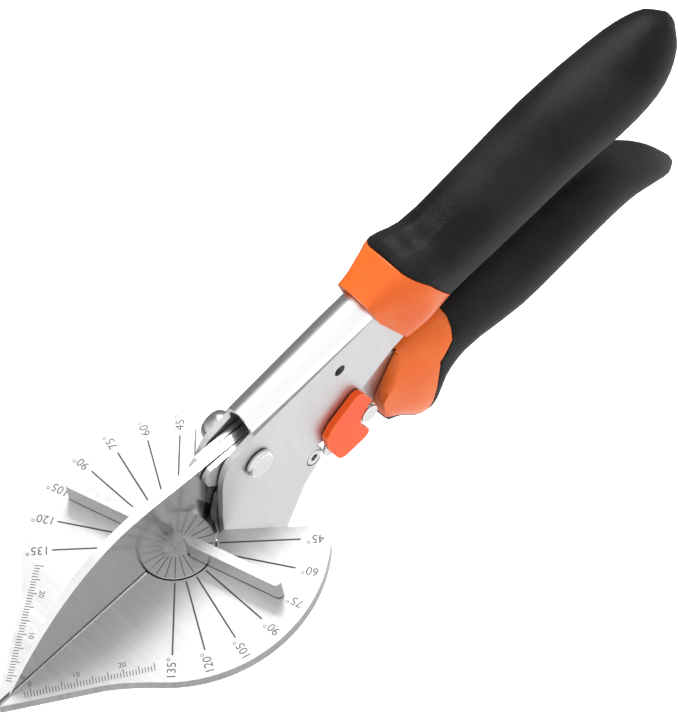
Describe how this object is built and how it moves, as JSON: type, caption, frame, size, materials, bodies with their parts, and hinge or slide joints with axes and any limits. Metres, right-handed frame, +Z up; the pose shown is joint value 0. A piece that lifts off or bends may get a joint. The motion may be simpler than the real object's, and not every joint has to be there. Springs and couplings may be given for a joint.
{
  "type": "multi-angle mitre shear",
  "caption": "Hand-held mitre shear: a pivoting blade closes on a protractor plate with a turning fence, worked by sprung handles with a safety latch.",
  "frame": {"origin": "centre of the flat underside of the keel below the protractor plate", "axes": "+Y runs back to the grips, +Z is up out of the plate, +X is to the user's right"},
  "size_m": [0.0736, 0.2265, 0.0677],
  "materials": {
    "satin_steel": "satin chromed sheet steel",
    "brushed_plate": "finely brushed stainless",
    "blade_steel": "ground tool steel",
    "bright_hardware": "plated, bright",
    "dark_steel": "dark zinc plate",
    "orange_plastic": "satin gloss",
    "latch_plastic": "satin gloss",
    "black_grip": "matte with a fine grain"
  },
  "bodies": {
    "frame": {"body_channel": "satin_steel", "plate_carrier": "dark_steel", "protractor_plate": "brushed_plate", "carrier_rivet_front": "satin_steel", "carrier_rivet_rear": "satin_steel", "plate_screw_1": "satin_steel", "plate_screw_2": "satin_steel", "plate_screw_3": "satin_steel", "plate_screw_4": "satin_steel", "pivot_bolt": "bright_hardware", "pivot_washer": "bright_hardware", "pivot_nut": "bright_hardware", "latch_catch": "bright_hardware", "upper_collar": "orange_plastic", "upper_grip": "black_grip", "return_spring": "satin_steel"},
    "lever": {"lever_cheek_left": "satin_steel", "lever_cheek_right": "satin_steel", "lever_spacer": "dark_steel", "lever_rivet_1": "satin_steel", "lever_rivet_2": "satin_steel", "blade": "blade_steel", "blade_drive_pin": "satin_steel", "spring_seat": "satin_steel", "latch_pin": "bright_hardware", "lower_collar": "orange_plastic", "lower_grip": "black_grip"},
    "fence": {"turntable_disc": "brushed_plate", "fence_bar_left": "brushed_plate", "fence_bar_right": "brushed_plate", "turntable_washer": "bright_hardware", "turntable_nut": "bright_hardware"},
    "latch": {"latch_plate": "satin_steel", "latch_grip": "latch_plastic"}
  },
  "joints": [
    {"name": "lever_pivot", "type": "hinge", "parent": "frame", "child": "lever", "pos_m": [0, 0.0015, 0.037], "axis": [-1, 0, 0], "range_deg": [0, 22], "deforming": ["return_spring"]},
    {"name": "fence_turn", "type": "hinge", "parent": "frame", "child": "fence", "pos_m": [0, -0.023, 0.0234], "axis": [0, 0, 1], "range_deg": [-60, 30]},
    {"name": "latch_pivot", "type": "hinge", "parent": "lever", "child": "latch", "pos_m": [0, 0.0334, 0.0204], "axis": [1, 0, 0], "range_deg": [0, 25]}
  ]
}
